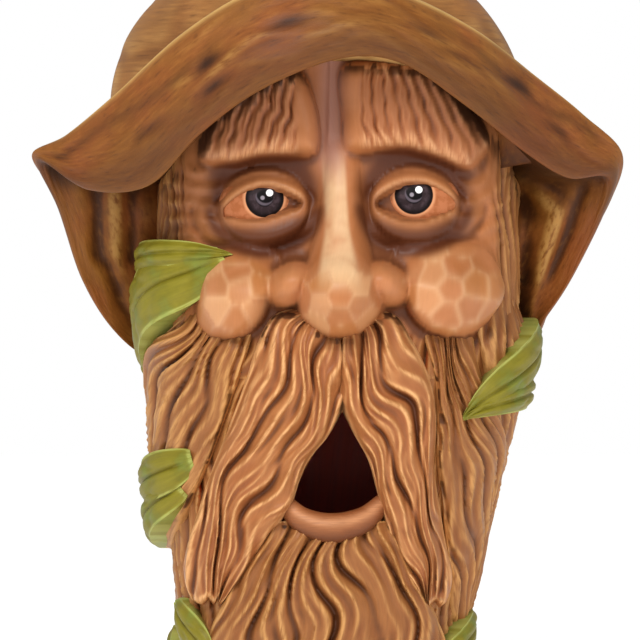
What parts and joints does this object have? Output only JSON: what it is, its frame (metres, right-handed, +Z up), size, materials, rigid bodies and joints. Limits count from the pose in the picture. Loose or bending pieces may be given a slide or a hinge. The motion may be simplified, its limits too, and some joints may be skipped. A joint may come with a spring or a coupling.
{
  "type": "birdhouse",
  "caption": "Hollow garden birdhouse shaped as a bearded tree face in a floppy hat; the open mouth is the doorway, the back is flat with a keyhole.",
  "frame": {"origin": "middle of the whole bounding box, on the ground under the flat foot", "axes": "+Z up the face, the face looks along -Y, +Y out of the flat back, +X to the viewer's right"},
  "size_m": [0.2871, 0.1782, 0.366],
  "materials": {
    "painted_resin": "cast resin painted as carved wood, satin"
  },
  "bodies": {
    "root": {"birdhouse_casting": "painted_resin"}
  },
  "joints": []
}
